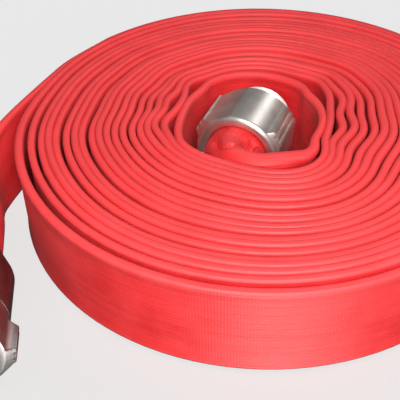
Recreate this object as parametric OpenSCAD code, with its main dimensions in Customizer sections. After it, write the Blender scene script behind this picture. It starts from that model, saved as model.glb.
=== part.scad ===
// Rolled lay-flat fire hose with a male coupling in the core and a swivel coupling outside.
// Millimetres, +Z up, resting on z = 0. The origin is the middle of the footprint.

/* [Hose] */
// Outside diameter of the hose where it is round
hose_od = 50; // [46:0.5:52]
// Thickness of the woven and rubber-covered wall
hose_wall = 2.4; // [2:0.1:2.8]
// Thickness of the hose where it lies flat, both walls together
flat_thickness = 6; // [5:0.5:7]

/* [Roll] */
// Radius of the roll over its outermost turn
roll_r = 195; // [190:1:200]
// Radius of the open core
core_r = 62; // [61:0.5:64]
// Sideways distance of the core's middle from the roll's middle
core_x = -9; // [-11:0.5:-7]
// Forward distance of the core's middle from the roll's middle
core_y = 5; // [3:0.5:7]
// Sideways distance of the roll's middle from the origin
roll_x = 29.15; // [20:0.05:40]
// Forward distance of the roll's middle from the origin
roll_y = 7.6; // [0:0.05:20]

/* [Couplings] */
// Radius of a coupling's round body
shell_r = 35.5; // [34.5:0.5:36]
// Radius over the male coupling's lugs
lug_r = 39.5; // [38.5:0.5:40]
// Radius over the swivel ring's lugs
swivel_lug_r = 42; // [41:0.5:42]
// Number of lugs round each coupling
lug_count = 3; // [2:1:4]
// Radius of the waterway
waterway_r = 19; // [18:0.5:20]
// Crest radius of the outside thread
thread_crest_r = 25.27; // [24.5:0.01:25.4]
// Wall radius of the inside thread
thread_wall_r = 23.5; // [23:0.1:24]
// Length of the male coupling's lugged body
male_body_len = 50; // [46:1:50]
// Length of the male coupling's threaded nose
nipple_len = 20; // [16:1:20]
// Length of the swivel coupling's smooth shank
shank_len = 57; // [55:1:60]
// Length of the swivel ring
swivel_len = 32.6; // [31:0.1:36]
// Depth to which each hose end enters its coupling
socket_depth = 32; // [28:1:34]

/* [Swivel bearing] */
// Radius of the neck that the swivel ring turns on
neck_r = 28.75; // [28:0.05:29]
// Radial play between the neck and the ring
neck_play = 0.05; // [0.02:0.01:0.08]
// Length of the neck beyond the shank's shoulder
neck_len = 11; // [10:0.5:12]
// Diameter of one bearing ball
ball_d = 4; // [3:0.5:4]
// Number of bearing balls
ball_count = 40; // [24:1:42]

/* [Hidden] */
$fn = 96;

hose_r = hose_od / 2;
hose_girth = PI * hose_od;
flat_half = flat_thickness / 2;

// The hose keeps its girth, so its half width follows from its half thickness.
function half_width(t) = t + (hose_girth - 2 * PI * t) / 4;
roll_h = 2 * half_width(flat_half);

// Where each coupling's hose mouth is, from the roll's middle, where it points, and how
// far one of its lugs is turned up from the horizontal
male_mouth = [-20.2, -9.8, 45];
male_heading = 67;
male_lug_turn = 31;
swivel_mouth = [-219.5, -117.5, 36.2];
swivel_heading = -85;
swivel_lug_turn = -11;

// Route of the innermost stretch, from the male coupling's mouth into the first turn,
// as x, y, z and half thickness
inner_route = [
    [-20.2, -9.8, 45, 25], [-23.1, -16.7, 44.6, 25], [-25.6, -24, 43.8, 22], [-26.2, -32, 42.8, 16],
    [-23, -40.5, 41.5, 11], [-14, -47.5, 40.8, 9], [-3, -51, 40.2, 8.5], [9, -52, 39.5, 7],
    [21, -51.5, 38.5, 4.5]
];

// Route of the free tail, from the outermost turn to the swivel coupling's mouth,
// as x, y, z and half thickness
tail_route = [
    [-166, 96, 37.6, 3], [-178.5, 72, 37.6, 3], [-191, 45, 37.6, 3], [-202, 20, 37.6, 3.2],
    [-210.5, -3, 37.6, 4], [-217.5, -26, 37.5, 7.5], [-221, -46, 37.2, 14.5], [-222.6, -66, 36.9, 21],
    [-222.1, -86, 36.5, 24], [-220.6, -104, 36.3, 25], [-219.5, -117.5, 36.2, 25]
];
section_points = 16;

web_start = socket_depth + 4;
mouth_bevel = 5.5;
shank_bevel = 1.2;
shank_cone = 18;
ring_wall = 2;
cuff_inner_r = hose_r - hose_wall;
serration_depth = 0.6;
serration_pitch = 4;
race_s = shank_len + 6;
race_r = neck_r + neck_play / 2;
race_play = 0.05;
ring_start = shank_len + 0.4;
ring_end = ring_start + swivel_len;
seat_s = shank_len + neck_len + 0.4;
gasket_r = 26.2;
gasket_thickness = 3.2;
port_r = 2.5;
lug_half_angle = 40;
lug_half_width = 7.5;
lug_rib_width = 3;
lug_rib_pitch = 5.6;
body_edge = 2.5;

// Stands a shape built along +Z at a coupling's mouth, pointing along its heading.
module along(mouth, heading) {
    translate([roll_x + mouth[0], roll_y + mouth[1], mouth[2]])
        rotate([0, 90, heading])
            children();
}

module male_frame() {
    along(male_mouth, male_heading) children();
}

module swivel_frame() {
    along(swivel_mouth, swivel_heading) children();
}

// One vertical ring of points across the hose at station i of a route.
function unit(v) = v / norm(v);
function travel(route, i) =
    let (last = len(route) - 1)
    let (a = route[max(i - 1, 0)])
    let (b = route[min(i + 1, last)])
    unit([b[0] - a[0], b[1] - a[1]]);
function section(route, i, dir) =
    let (p = route[i])
    let (t = p[3])
    let (rise = half_width(t) - t)
    [for (k = [0 : section_points - 1])
        let (a = (k + 0.5) * 360 / section_points)
        let (u = t * cos(a))
        let (v = t * sin(a) + rise * sign(sin(a)))
        [p[0] - dir[1] * u, p[1] + dir[0] * u, p[2] + v]];

// A closed solid that follows a route, with its first and last faces square to given headings.
module swept_hose(route, first_heading, last_heading) {
    last = len(route) - 1;
    n = section_points;
    dirs = [for (i = [0 : last])
        i == 0 ? [cos(first_heading), sin(first_heading)]
        : i == last ? [cos(last_heading), sin(last_heading)]
        : travel(route, i)];
    points = [for (i = [0 : last]) each section(route, i, dirs[i])];
    sides = [for (i = [0 : last - 1], k = [0 : n - 1])
        let (a = i * n + k)
        let (b = i * n + (k + 1) % n)
        each [[a, b, b + n], [a, b + n, a + n]]];
    start_cap = [for (k = [n - 1 : -1 : 0]) k];
    end_cap = [for (k = [0 : n - 1]) last * n + k];
    translate([roll_x, roll_y, 0])
        polyhedron(points, concat([start_cap, end_cap], sides), convexity = 6);
}

// A plain ring along +Z from s0 to s1.
module band(inner_r, outer_r, s0, s1) {
    translate([0, 0, s0])
        difference() {
            cylinder(r = outer_r, h = s1 - s0);
            translate([0, 0, -1])
                cylinder(r = inner_r, h = s1 - s0 + 2);
        }
}

// Cross-section of a lugged body: a round body with ribbed lugs, the ribs a little
// long so that the turned envelope trims their tops.
module lug_outline(turn, top_r) {
    circle(r = shell_r);
    rib_root = top_r - 2;
    for (i = [0 : lug_count - 1])
        rotate(turn + i * 360 / lug_count) {
            polygon([
                [0, 0],
                [shell_r * cos(lug_half_angle), -shell_r * sin(lug_half_angle)],
                [rib_root, -lug_half_width],
                [rib_root, lug_half_width],
                [shell_r * cos(lug_half_angle), shell_r * sin(lug_half_angle)]
            ]);
            for (j = [-1 : 1])
                translate([shell_r - 3, j * lug_rib_pitch - lug_rib_width / 2])
                    square([top_r - shell_r + 4, lug_rib_width]);
        }
}

// A lugged body along +Z, trimmed to a turned envelope given as [radius, station] points.
module lugged_body(turn, top_r, length, envelope) {
    intersection() {
        linear_extrude(length)
            lug_outline(turn, top_r);
        rotate_extrude()
            polygon(envelope);
    }
}

// The socket that the hose end is expanded into: bevelled mouth, gripping grooves, waterway.
module socket_bore(total_len, bevel) {
    translate([0, 0, -1])
        cylinder(r = hose_r, h = web_start + 1);
    translate([0, 0, -0.01])
        cylinder(r1 = hose_r + bevel, r2 = hose_r, h = bevel);
    for (s = [mouth_bevel + serration_pitch : serration_pitch : socket_depth - 2])
        translate([0, 0, s])
            cylinder(r1 = hose_r + serration_depth, r2 = hose_r, h = 1.6);
    cylinder(r = waterway_r, h = total_len + 1);
}

module hose_roll() {
    color("firebrick")
        translate([roll_x, roll_y, 0])
            difference() {
                rotate_extrude($fn = 180)
                    polygon([
                        [0, 0], [roll_r - 2, 0], [roll_r, 2],
                        [roll_r, roll_h - 2], [roll_r - 2, roll_h], [0, roll_h]
                    ]);
                translate([core_x, core_y, -1])
                    cylinder(r = core_r, h = roll_h + 2, $fn = 120);
            }
}

module hose_inner_end() {
    color("red")
        swept_hose(inner_route, male_heading + 180, 10);
}

module hose_tail() {
    color("red")
        swept_hose(tail_route, -120, swivel_heading);
}

module male_body() {
    total = male_body_len + nipple_len;
    envelope = [
        [0, 0], [shell_r - body_edge, 0], [shell_r, body_edge], [lug_r, 6],
        [lug_r, male_body_len - 6], [shell_r - 2, male_body_len], [0, male_body_len]
    ];
    color("lightsteelblue")
        male_frame()
            difference() {
                union() {
                    lugged_body(-90 - male_lug_turn, lug_r, male_body_len, envelope);
                    cylinder(r = thread_crest_r - 1.8, h = total);
                    translate([0, 0, male_body_len + 2])
                        cylinder(r = thread_crest_r, h = nipple_len - 3.5);
                    translate([0, 0, total - 1.5])
                        cylinder(r1 = thread_crest_r, r2 = thread_crest_r - 1.5, h = 1.5);
                }
                socket_bore(total, mouth_bevel);
            }
}

module male_hose_cuff() {
    color("darkred")
        male_frame()
            band(cuff_inner_r, hose_r, 0, socket_depth);
}

module male_expansion_ring() {
    color("goldenrod")
        male_frame()
            band(cuff_inner_r - ring_wall, cuff_inner_r, 1.5, socket_depth);
}

module male_tail_gasket() {
    color("dimgray")
        male_frame()
            band(cuff_inner_r - ring_wall, hose_r, socket_depth, web_start);
}

module swivel_shank() {
    total = shank_len + neck_len;
    color("lightsteelblue")
        swivel_frame()
            difference() {
                union() {
                    rotate_extrude()
                        polygon([
                            [0, 0], [hose_r + shank_bevel + 0.6, 0], [shell_r, shank_cone],
                            [shell_r, shank_len - 1], [shell_r - 1, shank_len], [0, shank_len]
                        ]);
                    cylinder(r = neck_r, h = total);
                }
                socket_bore(total, shank_bevel);
                translate([0, 0, race_s])
                    ball_race();
            }
}

module swivel_hose_cuff() {
    color("darkred")
        swivel_frame()
            band(cuff_inner_r, hose_r, 0, socket_depth);
}

module swivel_expansion_ring() {
    color("goldenrod")
        swivel_frame()
            band(cuff_inner_r - ring_wall, cuff_inner_r, 1.5, socket_depth);
}

module swivel_tail_gasket() {
    color("dimgray")
        swivel_frame()
            band(cuff_inner_r - ring_wall, hose_r, socket_depth, web_start);
}

// The round channel that the balls run in, half in the neck and half in the ring.
module ball_race() {
    rotate_extrude()
        translate([race_r, 0])
            circle(r = ball_d / 2 + race_play, $fn = 32);
}

// The loading port lies square to the axis, between two lugs.
module at_port() {
    translate([0, 0, race_s])
        rotate([0, 0, 90 + swivel_lug_turn + 180 / lug_count])
            rotate([0, 90, 0])
                children();
}

module swivel_ring() {
    envelope = [
        [0, 0], [shell_r - 1, 0], [shell_r, 1], [shell_r, 5], [swivel_lug_r, 9],
        [swivel_lug_r, swivel_len - 5], [shell_r - 1, swivel_len], [0, swivel_len]
    ];
    color("silver")
        swivel_frame()
            difference() {
                translate([0, 0, ring_start])
                    lugged_body(90 + swivel_lug_turn, swivel_lug_r, swivel_len, envelope);
                translate([0, 0, ring_start - 1])
                    cylinder(r = neck_r + neck_play, h = seat_s - ring_start + 1);
                translate([0, 0, seat_s - 0.01])
                    cylinder(r = gasket_r, h = gasket_thickness + 0.11);
                cylinder(r = thread_wall_r, h = ring_end + 1);
                translate([0, 0, ring_end - 2])
                    cylinder(r1 = thread_wall_r, r2 = thread_wall_r + 2.5, h = 2.01);
                translate([0, 0, race_s])
                    ball_race();
                at_port()
                    translate([0, 0, neck_r])
                        cylinder(r = port_r, h = 12);
            }
}

module bearing_balls() {
    color("gainsboro")
        swivel_frame()
            for (i = [0 : ball_count - 1])
                rotate([0, 0, (i + 0.5) * 360 / ball_count])
                    translate([race_r, 0, race_s])
                        sphere(d = ball_d, $fn = 32);
}

module ball_port_screw() {
    outer = shell_r - 0.6;
    inner = race_r + ball_d / 2 + 0.5;
    color("dimgray")
        swivel_frame()
            at_port()
                translate([0, 0, inner])
                    difference() {
                        cylinder(r = port_r, h = outer - inner);
                        translate([-port_r - 1, -0.4, outer - inner - 1.2])
                            cube([2 * port_r + 2, 0.8, 2]);
                    }
}

module thread_gasket() {
    color("black")
        swivel_frame()
            band(waterway_r + 0.8, gasket_r, seat_s + 0.1, seat_s + 0.1 + gasket_thickness);
}

hose_roll();
hose_inner_end();
hose_tail();
male_body();
male_hose_cuff();
male_expansion_ring();
male_tail_gasket();
swivel_shank();
swivel_hose_cuff();
swivel_expansion_ring();
swivel_tail_gasket();
swivel_ring();
bearing_balls();
ball_port_screw();
thread_gasket();
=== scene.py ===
"""Rolled lay-flat fire hose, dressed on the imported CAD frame. Metres, +Z up, row frame."""

import math

import bpy
import numpy as np
from mathutils import Matrix, Vector


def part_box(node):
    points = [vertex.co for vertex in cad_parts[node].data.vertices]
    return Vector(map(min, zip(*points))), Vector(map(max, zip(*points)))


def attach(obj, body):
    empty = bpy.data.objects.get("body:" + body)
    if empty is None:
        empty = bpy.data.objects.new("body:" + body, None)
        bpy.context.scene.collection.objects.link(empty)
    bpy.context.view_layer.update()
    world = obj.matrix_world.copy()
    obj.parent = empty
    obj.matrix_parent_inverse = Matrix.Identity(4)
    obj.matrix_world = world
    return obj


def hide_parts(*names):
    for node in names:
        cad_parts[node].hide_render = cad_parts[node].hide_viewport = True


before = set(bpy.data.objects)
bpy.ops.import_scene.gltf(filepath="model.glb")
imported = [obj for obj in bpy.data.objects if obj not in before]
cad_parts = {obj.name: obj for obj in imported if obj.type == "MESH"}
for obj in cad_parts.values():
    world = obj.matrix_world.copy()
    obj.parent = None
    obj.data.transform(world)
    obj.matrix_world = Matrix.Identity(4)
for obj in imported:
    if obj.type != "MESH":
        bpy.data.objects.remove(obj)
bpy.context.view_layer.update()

MM = 0.001

# ---------------------------------------------------------------- sizes from the frame

ROLL_LOW, ROLL_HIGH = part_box("hose_roll")
ROLL_MID = np.array([(ROLL_LOW.x + ROLL_HIGH.x) / 2, (ROLL_LOW.y + ROLL_HIGH.y) / 2])
ROLL_R = (ROLL_HIGH.x - ROLL_LOW.x) / 2
HOSE_W = ROLL_HIGH.z - ROLL_LOW.z

# ---------------------------------------------------------------- the hose

HOSE_R = 25 * MM
HOSE_WALL = 2.4 * MM
GIRTH = 2 * math.pi * HOSE_R
# Half the hose's thickness at its folds and between them, where it lies flatter, and how far from
# a fold it has thinned to that
FOLD_HALF = 2.95 * MM
WAIST_HALF = 2.45 * MM
WAIST_AT = 7 * MM
# How square the folds are, and how much squarer where the turns are pressed together, in front
FOLD_SQUARE = 0.22
PRESSED_SQUARE, PRESSED_HALF_DEG = 0.30, 60
# How much higher the middle of a fold stands than its sides
FOLD_CROWN = 0.45 * MM
# Least half thickness of the space inside the hose
THINNEST_LINING = 0.3 * MM
# Edges of the mesh that turn by more than this are shaded sharp
HOSE_SHARP_DEG = 75
# How many rings of the mesh the lining runs in from an open end
LINED_RINGS = 60

# The couplings: place of their hose mouths from the roll's middle, in mm, then their heading and
# the turn of their lugs, in degrees
MALE_MOUTH, MALE_HEADING, MALE_LUG_TURN = (-20.2, -9.8, 45), 67, 31
SWIVEL_MOUTH, SWIVEL_HEADING, SWIVEL_LUG_TURN = (-219.5, -117.5, 36.2), -85, -11
# Distances into a coupling at which the hose's route has a point
HELD_DEPTHS = (32, 24, 16, 8)
# Routes from the roll's middle: x, y, height of the middle, half thickness, in mm
INNER_ROUTE = [
    (-20.2, -9.8, 45, 25), (-23.1, -16.7, 44.6, 25), (-25.6, -24, 43.8, 22), (-26.2, -32, 42.8, 16),
    (-23, -40.5, 41.5, 11), (-14, -47.5, 40.8, 9), (-3, -51, 40.2, 8.5),
]
TAIL_ROUTE = [
    (-178.5, 72, 37.6, 2.95), (-191, 45, 37.6, 2.95), (-202, 20, 37.6, 3.2),
    (-210.5, -3, 37.6, 4), (-217.5, -26, 37.5, 7.5), (-221, -46, 37.2, 14.5), (-222.6, -66, 36.9, 21),
    (-222.1, -86, 36.5, 24), (-220.6, -104, 36.3, 25), (-219.5, -117.5, 36.2, 25),
]

# The roll, seen from above: it starts at CORE's START direction and winds outward
CORE = (-9, 5)
START = -71
WHOLE_TURNS = 19
# Directions in degrees at which the hose leaves the roll and at which it begins to be a free tail
LEAVES_AT = 149.9
FREE_AT = 82
# Steps to a turn, and the steps of the spiral's start and end where the curves to the couplings
# take over
STEPS = 108
START_JOIN, END_JOIN = 5, 6
# Thickness of a turn where it is pressed and where it has room, in mm
THINNEST, THICKEST = 5.8, 7.0
# How much thicker than flat, on each side, the hose still is where the spiral starts, and how far
# the coupling holds it up there, in mm
OPEN_HALF, START_LIFT = 5.5, 3.2
# Mean height above the floor of hand-rolled turns and the size of its two waves, in mm, and how
# much of a groove's opening its turns sink by
TURN_LIFT, TURN_WAVE, GROOVE_SINK = 1.9, 0.35, 0.9
# FIRST_TURN, LOOSE_SPOTS and GROOVES start from places read off the photo, which a scratch script
# turned into millimetres, and were then rounded and adjusted by hand.
# The innermost turn, as direction in degrees and distance from CORE in mm
FIRST_TURN = [
    (-71, 58.5), (-63, 62.5), (-52, 67.5), (-45, 66), (-34, 61.5), (-17, 59), (5, 59), (29, 58),
    (49, 62.5), (85, 63), (119, 60), (141, 53.5), (163, 52.8), (185, 56), (203, 62), (220, 66.5),
    (247, 68), (262, 72), (274, 77), (289, 83),
]
# Where neighbouring turns stand apart: inner turn's number, direction, opening in mm, half width
LOOSE_SPOTS = [
    (0, 289, 18.5, 20), (0, 323, 2.0, 12), (0, 32, 12.5, 19), (0, 66, 5, 20), (0, 95, 4.5, 25),
    (0, 134, 9.5, 11), (0, 188, 6.5, 13),
    (1, 343, 5, 9), (1, 13, 5, 9), (1, 160, 6, 10), (1, 187, 2.5, 12),
    (2, 150, 2.5, 11), (2, 202, 2.5, 10), (2, 350, 2.5, 10), (2, 30, 2.5, 12), (3, 165, 2.5, 10),
    (3, 5, 2, 10),
]
# Grooves where groups of turns part: place in turns from START, half length in turns, opening in mm
GROOVES = [
    (1.44, 0.2, 1.2), (4.35, 0.42, 2.6), (5.72, 0.16, 2.0), (6.93, 0.2, 2.5), (7.7, 0.15, 1.1),
    (8.93, 0.18, 2.4), (10.7, 0.32, 2.9), (12.7, 0.15, 1.1), (13.7, 0.33, 2.9), (15.44, 0.2, 1.8),
    (16.7, 0.2, 2.8),
]
# Opening under the outermost, slack turn: direction and opening in mm
SLACK_TURN = [(155, 0), (180, 3.5), (210, 5), (240, 4), (270, 3), (310, 2.2), (350, 1), (370, 0)]

# The kink outside the male coupling. Its crease is an arch across the hose, furthest along at
# CREASE_TOP (along, across) and falling back to the rim at each side, where it also widens, in
# mm and per mm. It fades out between CREASE_ENDS across the hose.
CREASE_TOP, CREASE_BACK_LEFT, CREASE_BACK_RIGHT = (58, 3), 0.125, 0.05
CREASE_HALF, CREASE_WIDENS, CREASE_DEPTH, CREASE_ENDS = 2.4, 0.14, 9.0, (-21, -9)
# The pocket at the crease's inner end: place (along, across), size and depth, in mm
POCKET_AT, POCKET_HALF, POCKET_DEPTH = (44, 14), 4.6, 6.5
# Lengths along the hose, in mm, between which the kink fades in at the coupling's mouth, and
# the length at which it is over
KINK_FADES_IN, KINK_DONE = (32, 36), CREASE_TOP[0] + 12
# Height above the hose's middle at which the kink has its whole depth, and the share of its depth
# that it narrows the hose by
KINK_WHOLE_AT, KINK_NARROWS = 14 * MM, 0.4


def smooth_through(points, per_gap):
    """Points of a centripetal Catmull-Rom curve through the given points, ends included."""
    p = np.array(points, float)
    p = np.vstack([2 * p[0] - p[1], p, 2 * p[-1] - p[-2]])
    made = []
    for a, b, c, d in zip(p[:-3], p[1:-2], p[2:-1], p[3:]):
        ta = 0.0
        tb = ta + max(np.linalg.norm(b[:2] - a[:2]), 1e-9) ** 0.5
        tc = tb + max(np.linalg.norm(c[:2] - b[:2]), 1e-9) ** 0.5
        td = tc + max(np.linalg.norm(d[:2] - c[:2]), 1e-9) ** 0.5
        for t in np.linspace(tb, tc, per_gap, endpoint=False):
            ab = ((tb - t) * a + (t - ta) * b) / (tb - ta)
            bc = ((tc - t) * b + (t - tb) * c) / (tc - tb)
            cd = ((td - t) * c + (t - tc) * d) / (td - tc)
            abc = ((tc - t) * ab + (t - ta) * bc) / (tc - ta)
            bcd = ((td - t) * bc + (t - tb) * cd) / (td - tb)
            made.append(((tc - t) * abc + (t - tb) * bcd) / (tc - tb))
    made.append(p[-2])
    return np.array(made)


def step(x, low, high):
    """Smooth rise from 0 at low to 1 at high."""
    t = np.clip((x - low) / (high - low), 0, 1)
    return t * t * (3 - 2 * t)


def along_turns(direction, turn):
    """How many turns from the start of the spiral a direction lies, on the turn of that number."""
    return turn + ((direction - START) % 360) / 360


def groove(u, place, reach, opening):
    """How far a groove opens at each of u, which counts turns from the start."""
    return opening * np.exp(-(((u - place) / reach) ** 2))


def outer_radius(u, last, inside):
    """Distance from CORE of the outermost turn. It comes from over the turn inside it, at that
    distance, and then lies on the roll's outer circle."""
    direction = np.radians(START + 360 * u)
    ray = CORE[0] * np.cos(direction) + CORE[1] * np.sin(direction)
    circle_r = ROLL_R / MM - FOLD_HALF / MM
    circle = -ray + np.sqrt(circle_r ** 2 - CORE[0] ** 2 - CORE[1] ** 2 + ray ** 2)
    return inside + (circle - inside) * step(u, last - 1 + 0.02, last - 1 + 0.1)


def spiral():
    """Turns so far, distance from CORE and half thickness, in mm, of every step of the spiral.
    Each turn lies on the one inside it, a thickness and a gap further out. The room that is left
    up to the roll's outside is shared out unevenly, and the hose swells to fill what it has."""
    last = along_turns(LEAVES_AT, WHOLE_TURNS)
    count = int(round(last * STEPS)) + 1
    u = np.arange(count) / STEPS
    first = smooth_through([((d - START) / 360, r) for d, r in FIRST_TURN], 24)
    r = np.zeros(count)
    r[:STEPS] = np.interp(u[:STEPS], first[:, 0], first[:, 1])

    gap = np.zeros(count)
    for turn, direction, opening, width in LOOSE_SPOTS:
        gap += opening * np.exp(-(((u - along_turns(direction, turn)) * 360 / width) ** 2))
    for one in GROOVES:
        gap += groove(u, *one)
    slack_at = [WHOLE_TURNS - 2 + (d - START) / 360 for d, opening in SLACK_TURN]
    gap += np.interp(u, slack_at, [opening for d, opening in SLACK_TURN])

    # the share of the spare room that each place gets, which waves along the hose
    share = (1 + 0.35 * np.sin(2 * math.pi * u * 0.37 + 1.3)) * step(u, 1.0, 1.4)
    # one direction after another, first the one at which the hose leaves the roll
    leaves = (count - 1) % STEPS
    inside = 0.0
    for m in [leaves] + [m for m in range(STEPS) if m != leaves]:
        at = np.arange(m, count, STEPS)
        target = outer_radius(u[at[-1]], last, inside)
        spare = target - r[m] - THINNEST * (len(at) - 1) - gap[at[:-1]].sum()
        gap[at[:-1]] += spare * share[at[:-1]] / share[at[:-1]].sum()
        r[at] = r[m] + np.concatenate([[0], np.cumsum(THINNEST + gap[at[:-1]])])
        if m == leaves:
            inside = r[at[-2]]

    r = blurred(r, 2)
    room = np.full(count, THICKEST)
    opened = sum(groove(u, *one) for one in GROOVES)
    apart = r[STEPS:] - r[:-STEPS] - opened[:-STEPS]
    room[:-STEPS] = np.minimum(room[:-STEPS], apart)
    room[STEPS:] = np.minimum(room[STEPS:], apart)
    opened_end = OPEN_HALF * (1 - step(u, -0.03, 0.11))
    return u, r, blurred(np.clip(room, THINNEST, THICKEST), 6) / 2 - 0.02 + opened_end


def blurred(values, reach):
    """The values with a short bell-shaped average run over them."""
    kernel = np.hanning(2 * reach + 3)[1:-1]
    padded = np.pad(values, reach, mode="reflect", reflect_type="odd")
    return np.convolve(padded, kernel / kernel.sum(), mode="valid")


def turn_lift(u):
    """How far above the floor each turn stands, in mm: hand-rolled turns aren't quite level."""
    wander = np.sin(2 * math.pi * u * 0.83 + 0.6) + np.sin(2 * math.pi * u * 0.291 + 2.1)
    lift = TURN_LIFT + TURN_WAVE * (wander + 2)
    for place, reach, opening in GROOVES:
        for turn in (0, 1):
            lift -= GROOVE_SINK * groove(u, place + turn, reach, opening)
    # the hose lies on the floor where the roll starts and ends
    return np.maximum(lift, 0.0) * step(u, 0.0, 0.4) * (1 - step(u, 18.4, 19.2))


def held_points(mouth, heading):
    """Route points inside a coupling, from its far end out, where the hose is round."""
    way = np.array([math.cos(math.radians(heading)), math.sin(math.radians(heading))])
    return [(*(np.array(mouth[:2]) + way * depth), mouth[2], HOSE_R / MM) for depth in HELD_DEPTHS]


def hose_route():
    """The whole hose as rows of x, y, middle height and half thickness, in metres: the straight
    end in the male coupling, the innermost stretch, the spiral, the tail and the swivel's end.
    Also the row where the tail begins to be free."""
    u, r, half_thick = spiral()
    direction = np.radians(START + 360 * u)
    # a thicker hose is narrower, so its middle lies lower
    narrower = (math.pi / 2 - 1) * (half_thick - FOLD_HALF / MM) * step(u, 0.1, 0.2)
    held_up = START_LIFT * (1 - step(u, 0.0, 0.12))
    wound = np.column_stack([
        CORE[0] + r * np.cos(direction),
        CORE[1] + r * np.sin(direction),
        HOSE_W / MM / 2 + turn_lift(u) - narrower + held_up,
        half_thick,
    ])
    entry = held_points(MALE_MOUTH, MALE_HEADING)
    leaving = held_points(SWIVEL_MOUTH, SWIVEL_HEADING)[::-1]
    inner = smooth_through(entry + INNER_ROUTE + [tuple(wound[k]) for k in (1, START_JOIN)], 8)
    outer = [tuple(wound[-END_JOIN]), tuple(wound[-1])] + TAIL_ROUTE + leaving
    tail = smooth_through(outer, 6)
    middle = slice(START_JOIN, -END_JOIN)
    rows = np.vstack([inner[:-1], wound[middle], tail])
    free_from = np.argmin(np.abs(u[middle] - along_turns(FREE_AT, WHOLE_TURNS)))
    free = len(inner) - 1 + int(free_from)
    rows *= MM
    rows[:, :2] += ROLL_MID
    return rows, free


def girth_positions():
    """Positions round the hose, from the middle of its upper edge, closer together at the edges."""
    quarter = GIRTH / 4
    upper = [0, 1.2, 2.4, 3.6, 4.8, 6.4, 8.6, 11.2, 14, 17.5, 22, 29]
    lower = [31, 22, 14, 8, 5, 3.4, 1.7, 0]
    half = [g * MM for g in upper] + [quarter] + [2 * quarter - g * MM for g in lower]
    return np.array(half + [2 * quarter + g for g in half[1:-1]])


GIRTH_AT = girth_positions()


def outline(t, shrink, square):
    """The outline as (across, up) at GIRTH_AT of a hose with half thickness t. Its girth stays
    what it is when round. shrink insets it, for the inner face of the wall."""
    quarter = GIRTH / 4
    # each fold is a flat brow with a round corner on either side, and then the hose's flat side
    flatness = 1 - step(t, FOLD_HALF * 1.3, FOLD_HALF * 3)
    corner = t * (1 - square * flatness)
    brow = t - corner
    arc = math.pi * corner / 2
    side = max(quarter - brow - arc, 0.0)
    g = GIRTH_AT % (2 * quarter)
    turned = GIRTH_AT >= 2 * quarter
    from_edge = np.minimum(g, 2 * quarter - g)
    on_brow = np.minimum(from_edge, brow)
    angle = np.clip(from_edge - brow, 0, arc) / corner
    inset = max(t - shrink, THINNEST_LINING) / t
    across = (on_brow + corner * np.sin(angle)) * inset
    up = side + corner * np.cos(angle) - shrink * np.cos(angle) - np.maximum(from_edge - brow - arc, 0)
    up += flatness * FOLD_CROWN * (np.cos(np.minimum(from_edge, 2 * t) / (2 * t) * math.pi) - 1) / 2
    waist = (t - WAIST_HALF) * flatness
    across -= waist * step(from_edge, arc + brow, arc + brow + WAIST_AT) * (shrink == 0)
    up = np.where(g > quarter, -up, up)
    return np.where(turned, -across, across), up


def ring_frames(rows):
    """The level unit vector to the left of each row, and its distance along the hose."""
    ahead = np.gradient(rows[:, :2], axis=0)
    ahead /= np.linalg.norm(ahead, axis=1)[:, None]
    left = np.column_stack([-ahead[:, 1], ahead[:, 0]])
    steps = np.linalg.norm(np.diff(rows[:, :3], axis=0), axis=1)
    return left, np.concatenate([[0], np.cumsum(steps)])


def kink(across, up, travelled):
    """Pushes the hose's upper side in along the crease where it kinks just outside the male
    coupling, deepest at the pocket on the inner side of the bend."""
    side, along = across / MM, travelled / MM
    off = side - CREASE_TOP[1]
    line = CREASE_TOP[0] - np.where(off > 0, CREASE_BACK_LEFT, CREASE_BACK_RIGHT) * off ** 2
    half = CREASE_HALF + CREASE_WIDENS * np.abs(off)
    depth = CREASE_DEPTH * np.exp(-(((along - line) / half) ** 2)) * step(side, *CREASE_ENDS)
    pocket = ((along - POCKET_AT[0]) ** 2 + (side - POCKET_AT[1]) ** 2) / POCKET_HALF ** 2
    shown = step(up, 0.0, KINK_WHOLE_AT) * step(along, *KINK_FADES_IN)
    depth = (depth + POCKET_DEPTH * np.exp(-pocket)) * shown * MM
    size = np.hypot(across, up)
    return across * (1 - KINK_NARROWS * depth / size), up - depth


def tube_rings(rows, left, travelled, shrink):
    """Vertices of the hose, one ring for each row, creased at the kink."""
    rings = []
    for index, ((x, y, z, t), side) in enumerate(zip(rows, left)):
        from_front = math.degrees(math.atan2(x - ROLL_MID[0], ROLL_MID[1] - y))
        pressed = PRESSED_SQUARE * math.exp(-((from_front / PRESSED_HALF_DEG) ** 2))
        across, up = outline(t, shrink, FOLD_SQUARE + pressed)
        if travelled[index] < KINK_DONE * MM:
            across, up = kink(across, up, travelled[index])
        # the outline runs over the top towards the left, so that its faces point outward
        rings.append(np.column_stack([x + side[0] * across, y + side[1] * across, z + up]))
    return np.array(rings)


def new_mesh(name, verts, faces, material, uvs=None, sharp_deg=None):
    """A smooth-shaded mesh object, with edges sharper than sharp_deg marked where it is given."""
    mesh = bpy.data.meshes.new(name)
    mesh.from_pydata([tuple(v) for v in verts], [], faces)
    if uvs is not None:
        layer = mesh.uv_layers.new(name="UVMap")
        layer.data.foreach_set("uv", np.asarray(uvs, np.float32).ravel())
    mesh.shade_smooth()
    if sharp_deg is not None:
        mesh.set_sharp_from_angle(angle=math.radians(sharp_deg))
    mesh.materials.append(material)
    obj = bpy.data.objects.new(name, mesh)
    bpy.context.scene.collection.objects.link(obj)
    return obj


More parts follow.
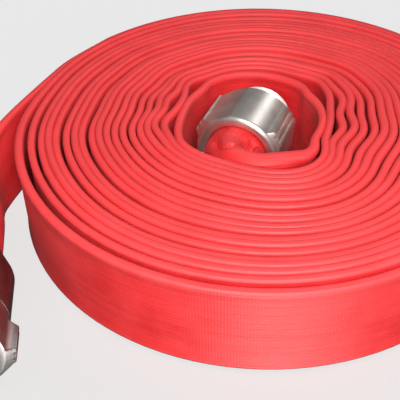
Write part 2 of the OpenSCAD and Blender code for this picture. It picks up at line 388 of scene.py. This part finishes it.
def hose_piece(name, rows, left, travelled, material, open_end):
    """A stretch of hose with its rounded folds. open_end is "first" or "last": there the wall
    shows its thickness and a lining runs in. The other end is a cut face."""
    outer = tube_rings(rows, left, travelled, 0.0)
    count, around = outer.shape[:2]
    lined = min(LINED_RINGS, count - 2)
    verts = list(outer.reshape(-1, 3))
    girth_at = np.append(GIRTH_AT, GIRTH)
    faces, uvs = [], []

    def wrap(rings, base, along, outward):
        for i in range(rings - 1):
            for j in range(around):
                k = (j + 1) % around
                a, b = base + i * around, base + (i + 1) * around
                quad = [a + j, b + j, b + k, a + k]
                uv = [(along[i], girth_at[j]), (along[i + 1], girth_at[j]),
                      (along[i + 1], girth_at[j + 1]), (along[i], girth_at[j + 1])]
                faces.append(quad if outward else quad[::-1])
                uvs.extend(uv if outward else uv[::-1])

    wrap(count, 0, travelled, True)
    at_first = open_end == "first"
    part = slice(0, lined) if at_first else slice(count - lined, count)
    lining = tube_rings(rows[part], left[part], travelled[part], HOSE_WALL)
    base = len(verts)
    verts.extend(lining.reshape(-1, 3))
    wrap(lined, base, travelled[part], False)

    mouth_out = 0 if at_first else (count - 1) * around
    mouth_in = base if at_first else base + (lined - 1) * around
    for j in range(around):
        k = (j + 1) % around
        quad = [mouth_out + j, mouth_out + k, mouth_in + k, mouth_in + j]
        faces.append(quad if at_first else quad[::-1])
        uvs.extend([(travelled[0 if at_first else -1], girth_at[j])] * 4)
    lining_end = base + (lined - 1) * around if at_first else base
    cut_end = (count - 1) * around if at_first else 0
    for start, inner in ((lining_end, True), (cut_end, False)):
        ring = list(range(start, start + around))
        faces.append(ring[::-1] if at_first != inner else ring)
        uvs.extend([(0.0, g) for g in girth_at[:-1]])
    return new_mesh(name, verts, faces, material, uvs, HOSE_SHARP_DEG)


# ---------------------------------------------------------------- the couplings

# All in mm. Stations run from a coupling's hose mouth, at 0, to its threaded end.
SHELL_R, LUG_R, SWIVEL_LUG_R, LUG_COUNT = 35.5, 39.5, 42.0, 3
LUG_EDGE_DEG, RIB_DEEP = 50, 2.2
RIB_W, RIB_PITCH = 3.0, 5.6
WATERWAY_R = 19.0
THREAD_PITCH = 25.4 / 9
CREST_R, ROOT_R = 25.27, 23.5
# Share of a thread's pitch that its crest and its root are flat for, together
THREAD_FLAT = 0.3
MALE_LEN, NOSE_END = 50.0, 70.0
SHANK_LEN, NECK_END, NECK_R = 57.0, 68.0, 28.75
RING_START, RING_END, RING_BORE = 57.4, 90.0, 28.8
SEAT_S, RECESS_END, RECESS_R = 68.4, 71.7, 26.2
RACE_S, RACE_R, BALL_R = 63.0, 28.775, 2.05
PORT_R = 2.5
GASKET_END = 36.0
MALE_MOUTH_BEVEL, SHANK_MOUTH_BEVEL = 5.5, 1.2
METAL_SHARP_DEG = 32


def lug_outline(turn_deg, top, flat_side):
    """Angles and radii, in mm, of a coupling's outline: a round body with three ribbed lugs, each
    with a flat that rises to it on one flank, at flat_side, and a small fillet on the other."""
    edge = math.radians(LUG_EDGE_DEG)
    root = top - RIB_DEEP
    flat = [(SHELL_R * math.cos(edge), SHELL_R * math.sin(edge))]
    fillet = [(SHELL_R * math.cos(a), -SHELL_R * math.sin(a))
              for a in np.radians([20, 18.5, 17, 15.5])]
    fillet += [(35.3, -8.7), ((root + 35.3) / 2, -7.9)]
    ribs = []
    for rib in (1, 0, -1):
        for side in (1, -1):
            y = rib * RIB_PITCH + side * RIB_W / 2
            rise = [(root, y + 0.35 * side), (top - 0.7, y), (top - 0.25, y - 0.25 * side),
                    (top - 0.05, y - 0.7 * side)]
            ribs += rise if side > 0 else rise[::-1]
    corners = flat + ribs + fillet[::-1]
    around = divided(corners, lambda a, b: math.dist(a, b) / 1.6)
    polar = sorted((math.atan2(y, x), math.hypot(x, y)) for x, y in around)
    gap = 2 * math.pi / LUG_COUNT - edge + polar[0][0]
    steps = 20
    polar += [(edge + gap * i / steps, SHELL_R) for i in range(1, steps)]
    if flat_side < 0:
        polar = [(-a, r) for a, r in polar[::-1]]
    turn = math.radians(turn_deg)
    angles = [turn + a + 2 * math.pi * k / LUG_COUNT for k in range(LUG_COUNT) for a, r in polar]
    return np.array(angles), np.array([min(r, top) for a, r in polar] * LUG_COUNT)


def divided(corners, pieces):
    """The corners with more points on the straight lines between them: each line is cut into as
    many equal lengths as pieces says for its two ends, rounded down, and at least one."""
    made = []
    for (x0, y0), (x1, y1) in zip(corners[:-1], corners[1:]):
        count = max(1, int(pieces((x0, y0), (x1, y1))))
        made += [(x0 + (x1 - x0) * i / count, y0 + (y1 - y0) * i / count) for i in range(count)]
    return made + [corners[-1]]


def envelope(corners):
    """Stations and radii along a turned profile, with a point for each half millimetre of rise."""
    return divided(corners, lambda a, b: abs(b[1] - a[1]) / 0.5)


def thread_rings(s0, s1, angles):
    """Rings over a helical thread from s0 to s1, about nine to a pitch."""
    count = int(abs(s1 - s0) / (THREAD_PITCH / 9))
    rings = []
    for s in np.linspace(s0, s1, count):
        phase = (s / THREAD_PITCH - angles / (2 * math.pi)) % 1
        height = np.clip((np.abs(2 * phase - 1) - THREAD_FLAT / 2) / (1 - THREAD_FLAT), 0, 1)
        rings.append((s, ROOT_R + (CREST_R - ROOT_R) * height))
    return rings


def race(side, bore):
    """Stations and radii of the groove that the balls run in, cut from a cylinder of radius bore
    outward (1) or inward (-1)."""
    made = []
    for a in np.linspace(0, math.pi, 9):
        s = RACE_S - BALL_R * math.cos(a)
        made.append((s, RACE_R + side * BALL_R * math.sin(a) if 0 < a < math.pi else bore))
    return made


def coupling_piece(name, mouth, heading, angles, rings, material, nose=None):
    """A closed piece from rings of (station, radius or radii), in mm, in order round its wall,
    with its axis along heading from mouth. nose is a material for the wall beyond the male body."""
    h = math.radians(heading)
    down = np.array([0, 0, -1])
    left = np.array([-math.sin(h), math.cos(h), 0])
    ahead = np.array([math.cos(h), math.sin(h), 0])
    origin = np.array([ROLL_MID[0] + mouth[0] * MM, ROLL_MID[1] + mouth[1] * MM, mouth[2] * MM])
    radial = np.cos(angles)[:, None] * down + np.sin(angles)[:, None] * left
    verts, profile, walked, before = [], [], 0.0, None
    for s, radii in rings:
        radii = np.broadcast_to(np.asarray(radii, float), angles.shape)
        verts.append(origin + ahead * s * MM + radial * radii[:, None] * MM)
        here = np.array([s, radii.mean()])
        walked += 0 if before is None else float(np.linalg.norm(here - before))
        before = here
        profile.append((walked * MM, radii.mean() * MM))
    around = len(angles)
    turn = np.append((angles - angles[0]) % (2 * math.pi), 2 * math.pi)
    faces, uvs = [], []
    for i in range(len(rings)):
        n = (i + 1) % len(rings)
        va, vb = profile[i][0], profile[n][0] if n else profile[i][0] + MM
        for j in range(around):
            k = (j + 1) % around
            faces.append([i * around + j, i * around + k, n * around + k, n * around + j])
            uvs += [(turn[j] * SHELL_R * MM, va), (turn[j + 1] * SHELL_R * MM, va),
                    (turn[j + 1] * SHELL_R * MM, vb), (turn[j] * SHELL_R * MM, vb)]
    piece = new_mesh(name, np.concatenate(verts), faces, material, uvs, METAL_SHARP_DEG)
    if nose is not None:
        piece.data.materials.append(nose)
        beyond = [s >= MALE_LEN for s, radii in rings]
        for polygon in piece.data.polygons:
            polygon.material_index = int(beyond[polygon.index // around])
    return piece


def socket_rings(bevel):
    """The bore from the waterway back to the bevelled hose mouth."""
    lip = [(bevel * (1 - math.sin(a)) + 0.3 * math.sin(a), HOSE_R / MM + bevel * (1 - math.cos(a)))
           for a in np.radians([0, 18, 36, 54, 72])]
    return [(GASKET_END, WATERWAY_R), (GASKET_END, HOSE_R / MM)] + lip


def male_coupling(material, nose):
    """The lugged male body. Its thread fades in over the first turn from the body."""
    angles, outline_r = lug_outline(-90 - MALE_LUG_TURN, LUG_R, 1)
    cap = envelope([(0.3, 33.0), (0.9, 34.1), (1.7, 34.9), (2.7, SHELL_R), (5.9, LUG_R - 0.05),
                    (43.8, LUG_R), (44.4, LUG_R - 0.3), (49.6, 33.9), (MALE_LEN, 33.3)])
    rings = [(0, 31.0), (0, 32.2)] + [(s, np.minimum(outline_r, r)) for s, r in cap]
    thread_from = MALE_LEN + 1.9
    rings += [(MALE_LEN, 24.4), (MALE_LEN + 0.3, 23.6), (thread_from, ROOT_R)]
    for s, r in thread_rings(thread_from + 0.2, NOSE_END - 1.4, angles):
        rings.append((s, np.minimum(r, ROOT_R + 1.2 * (s - thread_from))))
    rings += [(NOSE_END - 0.4, 24.0), (NOSE_END, 23.5), (NOSE_END, WATERWAY_R + 0.7),
              (NOSE_END - 0.7, WATERWAY_R)]
    rings += socket_rings(MALE_MOUTH_BEVEL)
    return coupling_piece("male_coupling", MALE_MOUTH, MALE_HEADING, angles, rings, material, nose)


def shank_coupling(material):
    """The smooth shank: a cone that opens from the hose to the shell, and the neck with its race."""
    angles = np.radians(np.arange(0, 360, 2.0))
    rings = [(0.1, 26.4), (0.3, 26.9), (17.5, 35.2), (18.5, SHELL_R), (SHANK_LEN - 1, SHELL_R),
             (SHANK_LEN - 0.3, 35.2), (SHANK_LEN, 34.6), (SHANK_LEN, NECK_R)]
    rings += race(-1, NECK_R) + [(NECK_END - 0.6, NECK_R), (NECK_END, 28.2)]
    rings += [(NECK_END, WATERWAY_R + 0.6), (NECK_END - 0.6, WATERWAY_R)]
    rings += socket_rings(SHANK_MOUTH_BEVEL)[:-1] + [(0.2, 25.9)]
    return coupling_piece("swivel_shank_shell", SWIVEL_MOUTH, SWIVEL_HEADING, angles, rings,
                          material)


def ring_coupling(material):
    """The lugged ring, with its inside thread, its gasket's recess and its half of the race."""
    angles, outline_r = lug_outline(90 + SWIVEL_LUG_TURN, SWIVEL_LUG_R, -1)
    at, top = RING_START, SWIVEL_LUG_R
    cap = envelope([(at, 34.7), (at + 0.8, SHELL_R), (at + 4.9, SHELL_R), (at + 8.8, top),
                    (at + 27.4, top), (at + 28, top - 0.4), (RING_END - 0.3, 34.9),
                    (RING_END, 34.3)])
    rings = [(at, RING_BORE + 0.5)] + [(s, np.minimum(outline_r, r)) for s, r in cap]
    rings += [(RING_END, 26.2), (RING_END - 1.8, ROOT_R + 0.4)]
    rings += thread_rings(RING_END - 2.1, RECESS_END + 0.3, angles)
    rings += [(RECESS_END, ROOT_R), (RECESS_END, RECESS_R), (SEAT_S, RECESS_R), (SEAT_S, RING_BORE)]
    rings += race(1, RING_BORE)[::-1] + [(at + 0.5, RING_BORE)]
    return coupling_piece("swivel_ring_shell", SWIVEL_MOUTH, SWIVEL_HEADING, angles, rings,
                          material)


def drill_port(ring, screw):
    """Cuts the ball loading port, which its screw fills, through the ring's wall."""
    low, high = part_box(screw)
    middle = (low + high) / 2
    h = math.radians(SWIVEL_HEADING)
    turn = math.radians(90 + SWIVEL_LUG_TURN + 180 / LUG_COUNT)
    way = Vector((-math.sin(h) * math.sin(turn), math.cos(h) * math.sin(turn), -math.cos(turn)))
    side = way.orthogonal().normalized()
    other = way.cross(side)
    around, reach = 32, 7 * MM
    verts = [
        middle + way * reach * end + (side * math.cos(a) + other * math.sin(a)) * PORT_R * MM
        for end in (-0.4, 1.0) for a in np.linspace(0, 2 * math.pi, around, endpoint=False)
    ]
    faces = [[i, (i + 1) % around, around + (i + 1) % around, around + i] for i in range(around)]
    faces += [list(range(around))[::-1], list(range(around, 2 * around))]
    cutter = new_mesh("port_cutter", verts, faces, ring.data.materials[0])
    cut = ring.modifiers.new("port", "BOOLEAN")
    cut.object, cut.operation, cut.solver = cutter, "DIFFERENCE", "EXACT"
    shaped = ring.evaluated_get(bpy.context.evaluated_depsgraph_get())
    mesh = bpy.data.meshes.new_from_object(shaped)
    ring.modifiers.clear()
    ring.data = mesh
    mesh.set_sharp_from_angle(angle=math.radians(METAL_SHARP_DEG))
    bpy.data.objects.remove(cutter)


# ---------------------------------------------------------------- materials

# Spacing of the jacket's ribs, which show through the rubber
WEFT_PITCH, WARP_PITCH = 2.1 * MM, 2.6 * MM


class Nodes:
    """Short names for building a material's node tree."""

    def __init__(self, name):
        self.material = bpy.data.materials.new(name)
        self.material.use_nodes = True
        self.tree = self.material.node_tree
        self.tree.nodes.clear()
        self.output = self.tree.nodes.new("ShaderNodeOutputMaterial")

    def add(self, kind, **sockets):
        """A node of that kind. Keywords set its sockets, with _ for a space, or its properties."""
        node = self.tree.nodes.new("ShaderNode" + kind)
        for key, value in sockets.items():
            if hasattr(node, key) and key not in node.inputs:
                setattr(node, key, value)
                continue
            socket = int(key[2:]) if key.startswith("in") else key.replace("_", " ")
            self.put(value, node.inputs[socket])
        return node

    def put(self, value, socket):
        """Links a socket or a node's first output to the socket, or sets the socket's value."""
        if isinstance(value, bpy.types.NodeSocket):
            self.tree.links.new(value, socket)
        elif isinstance(value, bpy.types.Node):
            self.tree.links.new(value.outputs[0], socket)
        else:
            socket.default_value = value

    def math(self, operation, a, b=0.0):
        return self.add("Math", operation=operation, in0=a, in1=b).outputs[0]

    def noise(self, vector, scale, detail, roughness=0.5):
        node = self.add("TexNoise", Vector=vector, Scale=scale, Detail=detail, Roughness=roughness)
        return node.outputs["Fac"]

    def ramp(self, value, low, high, to_low, to_high):
        node = self.add("MapRange", Value=value, From_Min=low, From_Max=high,
                        To_Min=to_low, To_Max=to_high)
        return node.outputs[0]

    def mix(self, factor, a, b):
        node = self.tree.nodes.new("ShaderNodeMix")
        node.data_type = "RGBA"
        for socket, value in ((0, factor), (6, a), (7, b)):
            self.put(value, node.inputs[socket])
        return node.outputs[2]

    def surface(self, **sockets):
        shader = self.add("BsdfPrincipled", **sockets)
        self.tree.links.new(shader.outputs[0], self.output.inputs["Surface"])
        return self.material


def rubber_material():
    """Red nitrile rubber through a woven jacket: weft ribs across, warp ribs along, streaks along
    the hose, and folds paler partly from wear and partly from a painted highlight."""
    n = Nodes("red_rubber")
    uv = n.add("UVMap").outputs[0]
    where = n.add("TexCoord").outputs["Object"]
    split = n.add("SeparateXYZ", Vector=uv)
    along, round_it = split.outputs[0], split.outputs[1]
    weft = n.math("SINE", n.math("MULTIPLY", along, 2 * math.pi / WEFT_PITCH))
    warp = n.math("SINE", n.math("MULTIPLY", round_it, 2 * math.pi / WARP_PITCH))
    stretched = n.add("Mapping", Vector=uv, Scale=(5.0, 170.0, 1.0)).outputs[0]
    streaks = n.noise(stretched, 1.0, 2.5, 0.6)
    mottle = n.noise(where, 28.0, 4.0, 0.55)
    grain = n.noise(where, 900.0, 2.0, 0.6)

    # how near the point is to one of the two folds, from 0 on the faces to 1 on the fold
    face_share = n.math("FRACT", n.math("MULTIPLY", round_it, 2 / GIRTH))
    from_face = n.math("ABSOLUTE", n.math("SUBTRACT", face_share, 0.5))
    fold = n.ramp(from_face, 0.40, 0.49, 0.0, 1.0)

    height = n.math("ADD", n.math("MULTIPLY", weft, 0.11), n.math("MULTIPLY", warp, 0.25))
    height = n.math("ADD", height, n.math("MULTIPLY", streaks, 3.2))
    height = n.math("ADD", height, n.math("MULTIPLY", grain, 0.4))
    bump = n.add("Bump", Height=height, Strength=0.6, Distance=0.35 * MM)

    tone = n.math("ADD", n.math("MULTIPLY", mottle, 0.7), n.math("MULTIPLY", streaks, 0.3))
    shade = n.ramp(tone, 0.35, 0.65, 0, 1)
    face = n.mix(shade, (0.66, 0.015, 0.017, 1), (0.82, 0.034, 0.037, 1))
    # The pale fold colour is partly wear and partly a painted highlight on the fold tops.
    colour = n.mix(n.math("MULTIPLY", fold, 0.55), face, (0.92, 0.080, 0.086, 1))
    rough = n.ramp(n.math("ADD", mottle, n.math("MULTIPLY", grain, 0.4)), 0.4, 1.0, 0.46, 0.66)
    return n.surface(Base_Color=colour, Roughness=rough, Normal=bump.outputs[0],
                     Specular_IOR_Level=0.45, Sheen_Weight=0.03, Sheen_Roughness=0.5,
                     Sheen_Tint=(1.0, 0.75, 0.75, 1))


def alloy_material(name, dark, light, metallic):
    """Aluminium alloy: fine turning marks round the axis and a soft cast mottle, between a dark and
    a light tone."""
    n = Nodes(name)
    uv = n.add("UVMap").outputs[0]
    where = n.add("TexCoord").outputs["Object"]
    turned = n.add("Mapping", Vector=uv, Scale=(10.0, 3200.0, 1.0)).outputs[0]
    marks = n.noise(turned, 1.0, 2.0, 0.6)
    mottle = n.noise(where, 70.0, 4.0, 0.6)
    fine = n.noise(where, 1500.0, 2.0, 0.5)
    tone = n.math("ADD", n.math("MULTIPLY", marks, 0.5), n.math("MULTIPLY", mottle, 0.5))
    colour = n.mix(n.ramp(tone, 0.38, 0.62, 0, 1), dark, light)
    rough = n.ramp(n.math("ADD", mottle, marks), 0.7, 1.3, 0.32, 0.46)
    height = n.math("ADD", marks, n.math("MULTIPLY", fine, 0.35))
    bump = n.add("Bump", Height=height, Strength=0.35, Distance=0.06 * MM)
    return n.surface(Base_Color=colour, Metallic=metallic, Roughness=rough, Normal=bump.outputs[0])


def metal_material(name, dark, light, rough_low, rough_high):
    """Plain machined metal for the expansion rings, balls and screw, with fine grain and stains."""
    n = Nodes(name)
    where = n.add("TexCoord").outputs["Object"]
    stains = n.noise(where, 160.0, 4.0, 0.6)
    fine = n.noise(where, 2400.0, 2.0, 0.6)
    colour = n.mix(n.ramp(stains, 0.35, 0.65, 0, 1), dark, light)
    wear = n.math("ADD", stains, n.math("MULTIPLY", fine, 0.3))
    rough = n.ramp(wear, 0.4, 0.9, rough_low, rough_high)
    bump = n.add("Bump", Height=fine, Strength=0.3, Distance=0.05 * MM)
    return n.surface(Base_Color=colour, Metallic=1.0, Roughness=rough, Normal=bump.outputs[0])


def gasket_material():
    """Black rubber with a grey bloom."""
    n = Nodes("black_rubber")
    where = n.add("TexCoord").outputs["Object"]
    bloom = n.noise(where, 120.0, 4.0, 0.6)
    fine = n.noise(where, 1800.0, 2.0, 0.6)
    shade = n.ramp(bloom, 0.35, 0.7, 0, 1)
    colour = n.mix(shade, (0.012, 0.012, 0.013, 1), (0.035, 0.034, 0.033, 1))
    rough = n.ramp(bloom, 0.3, 0.7, 0.45, 0.7)
    bump = n.add("Bump", Height=fine, Strength=0.4, Distance=0.08 * MM)
    return n.surface(Base_Color=colour, Roughness=rough, Normal=bump.outputs[0])


def floor_material():
    """Even pale grey, mostly by its own light, so that shadows on it are weak."""
    n = Nodes("pale_floor")
    where = n.add("TexCoord").outputs["Object"]
    colour = n.mix(n.noise(where, 2.0, 2.0), (0.25, 0.25, 0.25, 1), (0.26, 0.26, 0.26, 1))
    return n.surface(Base_Color=colour, Roughness=0.9, Specular_IOR_Level=0.1,
                     Emission_Color=(1, 1, 1, 1), Emission_Strength=0.74)


def paint_nodes(names, material):
    """Gives carried-over CAD nodes a material."""
    for name in names:
        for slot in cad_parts[name].material_slots:
            slot.material = material


# ---------------------------------------------------------------- camera, light and floor

# Places here are from the roll's middle on the floor, in metres
CAMERA_PLACE, CAMERA_DOWN_DEG, CAMERA_ROLL_DEG = (-0.0504, -0.5365, 0.4315), 39.412, 1.523
CAMERA_LENS, CAMERA_SENSOR = 72.0, 36.0
# Strength of the surroundings at the horizon and overhead
WORLD_LOW, WORLD_HIGH = 0.03, 0.27
# Soft boxes: name, place, size, energy; and the point that they face
SOFT_BOXES = [("key", (0.0, -0.56, 0.58), 0.40, 7.0), ("front", (0.0, -0.74, 0.10), 0.30, 2.1)]
SOFT_BOX_AIM = (0.0, -0.08, 0.04)
# Bright card in front of the roll, seen only as a reflection in the object, from below the floor,
# which reflections pass through: place, the way it faces, size, energy
CARD_PLACE, CARD_FACES = (0.03, -0.47, -0.20), (0, 0.78, 0.62)
CARD_SIZE, CARD_ENERGY = (0.26, 0.22), 1.45
# Lamp far away behind: energy, then its spread, its heading anticlockwise from the front and its
# height, in degrees
BACK_ENERGY, BACK_SPREAD_DEG, BACK_HEADING_DEG, BACK_HEIGHT_DEG = 0.30, 12, 141, 33
FLOOR_HALF, FLOOR_DROP = 40.0, 0.2 * MM


def from_middle(place):
    """A place that is given from the roll's middle, in the frame."""
    return Vector((ROLL_MID[0] + place[0], ROLL_MID[1] + place[1], place[2]))


def place_camera():
    """Looks along +Y and down on the roll, from a little left of its middle, rolled slightly."""
    data = bpy.data.cameras.new("camera")
    data.sensor_width, data.lens = CAMERA_SENSOR, CAMERA_LENS
    camera = bpy.data.objects.new("camera", data)
    bpy.context.scene.collection.objects.link(camera)
    elevation, roll = math.radians(CAMERA_DOWN_DEG), math.radians(CAMERA_ROLL_DEG)
    forward = Vector((0, math.cos(elevation), -math.sin(elevation)))
    up = Vector((0, math.sin(elevation), math.cos(elevation)))
    right = Vector((1, 0, 0))
    turned_right = right * math.cos(roll) - up * math.sin(roll)
    turned_up = right * math.sin(roll) + up * math.cos(roll)
    axes = Matrix((turned_right, turned_up, -forward)).transposed()
    camera.matrix_world = Matrix.Translation(from_middle(CAMERA_PLACE)) @ axes.to_4x4()
    bpy.context.scene.camera = camera


def light_world():
    """A pale studio round the object, dimmer towards the floor than overhead."""
    world = bpy.data.worlds.new("studio")
    bpy.context.scene.world = world
    world.use_nodes = True
    tree = world.node_tree
    tree.nodes.clear()
    where = tree.nodes.new("ShaderNodeTexCoord")
    split = tree.nodes.new("ShaderNodeSeparateXYZ")
    tree.links.new(where.outputs["Generated"], split.inputs[0])
    ramp = tree.nodes.new("ShaderNodeMapRange")
    limits = {"From Min": 0.0, "From Max": 0.9, "To Min": WORLD_LOW, "To Max": WORLD_HIGH}
    for socket, value in limits.items():
        ramp.inputs[socket].default_value = value
    tree.links.new(split.outputs[2], ramp.inputs["Value"])
    sky = tree.nodes.new("ShaderNodeBackground")
    tree.links.new(ramp.outputs[0], sky.inputs["Strength"])
    out = tree.nodes.new("ShaderNodeOutputWorld")
    tree.links.new(sky.outputs[0], out.inputs[0])
    sky.inputs["Color"].default_value = (1, 1, 1, 1)


def add_lamp(name, kind, energy, place, faces):
    """A lamp of that kind at a place, facing the way that faces points."""
    data = bpy.data.lights.new(name, kind)
    data.energy = energy
    lamp = bpy.data.objects.new(name, data)
    bpy.context.scene.collection.objects.link(lamp)
    lamp.location = place
    lamp.rotation_mode = "QUATERNION"
    lamp.rotation_quaternion = faces.to_track_quat("-Z", "Y")
    return lamp


def light_scene(floor):
    """Soft boxes and a reflection card in front, which light the object and not the floor, and a
    soft lamp far behind."""
    bpy.context.scene.view_settings.view_transform = "Standard"
    light_world()

    unlit = bpy.data.collections.new("not_lit_by_soft_boxes")
    unlit.objects.link(floor)
    unlit.collection_objects[0].light_linking.link_state = "EXCLUDE"
    for name, place, size, energy in SOFT_BOXES:
        place = from_middle(place)
        lamp = add_lamp(name, "AREA", energy, place, from_middle(SOFT_BOX_AIM) - place)
        lamp.data.shape, lamp.data.size = "DISK", size
        lamp.light_linking.receiver_collection = unlit

    card = add_lamp("card", "AREA", CARD_ENERGY, from_middle(CARD_PLACE), Vector(CARD_FACES))
    card.data.shape = "RECTANGLE"
    card.data.size, card.data.size_y = CARD_SIZE
    card.visible_diffuse = False
    card.light_linking.receiver_collection = unlit

    heading, height = math.radians(BACK_HEADING_DEG), math.radians(BACK_HEIGHT_DEG)
    way = Vector((math.sin(heading) * math.cos(height), -math.cos(heading) * math.cos(height),
                  math.sin(height)))
    back = add_lamp("back", "SUN", BACK_ENERGY, way * 2, -way)
    back.data.angle = math.radians(BACK_SPREAD_DEG)


def lay_floor():
    """A wide floor just under the object. It reaches past every view's horizon, and neither
    lights, reflects in nor shades the object."""
    h = FLOOR_HALF
    floor = new_mesh("floor", [(-h, -h, 0), (h, -h, 0), (h, h, 0), (-h, h, 0)], [[0, 1, 2, 3]],
                     floor_material())
    floor.location.z = -FLOOR_DROP
    floor.visible_diffuse = floor.visible_glossy = floor.visible_shadow = False
    return floor


# ---------------------------------------------------------------- the scene

place_camera()

rubber = rubber_material()
alloy = alloy_material("satin_alloy", (0.62, 0.57, 0.52, 1), (0.76, 0.71, 0.66, 1), 0.9)
# A darker tone of the same alloy, for the swivel ring.
worn = alloy_material("worn_alloy", (0.25, 0.225, 0.215, 1), (0.38, 0.35, 0.335, 1), 0.95)
# A darker copy of the alloy for the shank: its dark tone is painted shade and painted dark reflection.
tarnished = alloy_material("tarnished_alloy", (0.17, 0.145, 0.14, 1), (0.27, 0.235, 0.22, 1), 1.0)
# The nose's near-white colour is bare machined metal brightened into a painted highlight.
machined = alloy_material("machined_alloy_painted_highlight", (0.86, 0.85, 0.84, 1), (0.95, 0.94, 0.93, 1), 0.45)
rows, free_from = hose_route()
left, travelled = ring_frames(rows)

wound = slice(0, free_from + 1)
roll = hose_piece("hose_wound", rows[wound], left[wound], travelled[wound], rubber, "first")
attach(roll, "hose")
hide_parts("hose_roll", "hose_inner_end", "male_hose_cuff")

tail_rows = rows[free_from:]
tail = hose_piece("hose_free_tail", tail_rows, left[free_from:], travelled[free_from:], rubber,
                  "last")
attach(tail, "hose")
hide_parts("hose_tail", "swivel_hose_cuff")

male = male_coupling(alloy, machined)
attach(male, "hose")
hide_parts("male_body")

shank = shank_coupling(tarnished)
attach(shank, "hose")
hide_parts("swivel_shank")

ring = ring_coupling(worn)
drill_port(ring, "ball_port_screw")
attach(ring, "swivel")
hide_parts("swivel_ring")

paint_nodes(["male_expansion_ring", "swivel_expansion_ring"],
            metal_material("yellow_brass", (0.55, 0.36, 0.12, 1), (0.72, 0.50, 0.20, 1), 0.22, 0.42))
paint_nodes(["male_tail_gasket", "swivel_tail_gasket", "thread_gasket"], gasket_material())
paint_nodes(["bearing_balls"],
            metal_material("polished_steel", (0.55, 0.55, 0.56, 1), (0.66, 0.66, 0.67, 1), 0.10, 0.22))
paint_nodes(["ball_port_screw"],
            metal_material("dull_steel", (0.28, 0.27, 0.26, 1), (0.42, 0.41, 0.40, 1), 0.30, 0.50))

light_scene(lay_floor())

print(f"hose {travelled[-1]:.3f} m; free tail {travelled[-1] - travelled[free_from]:.3f} m")
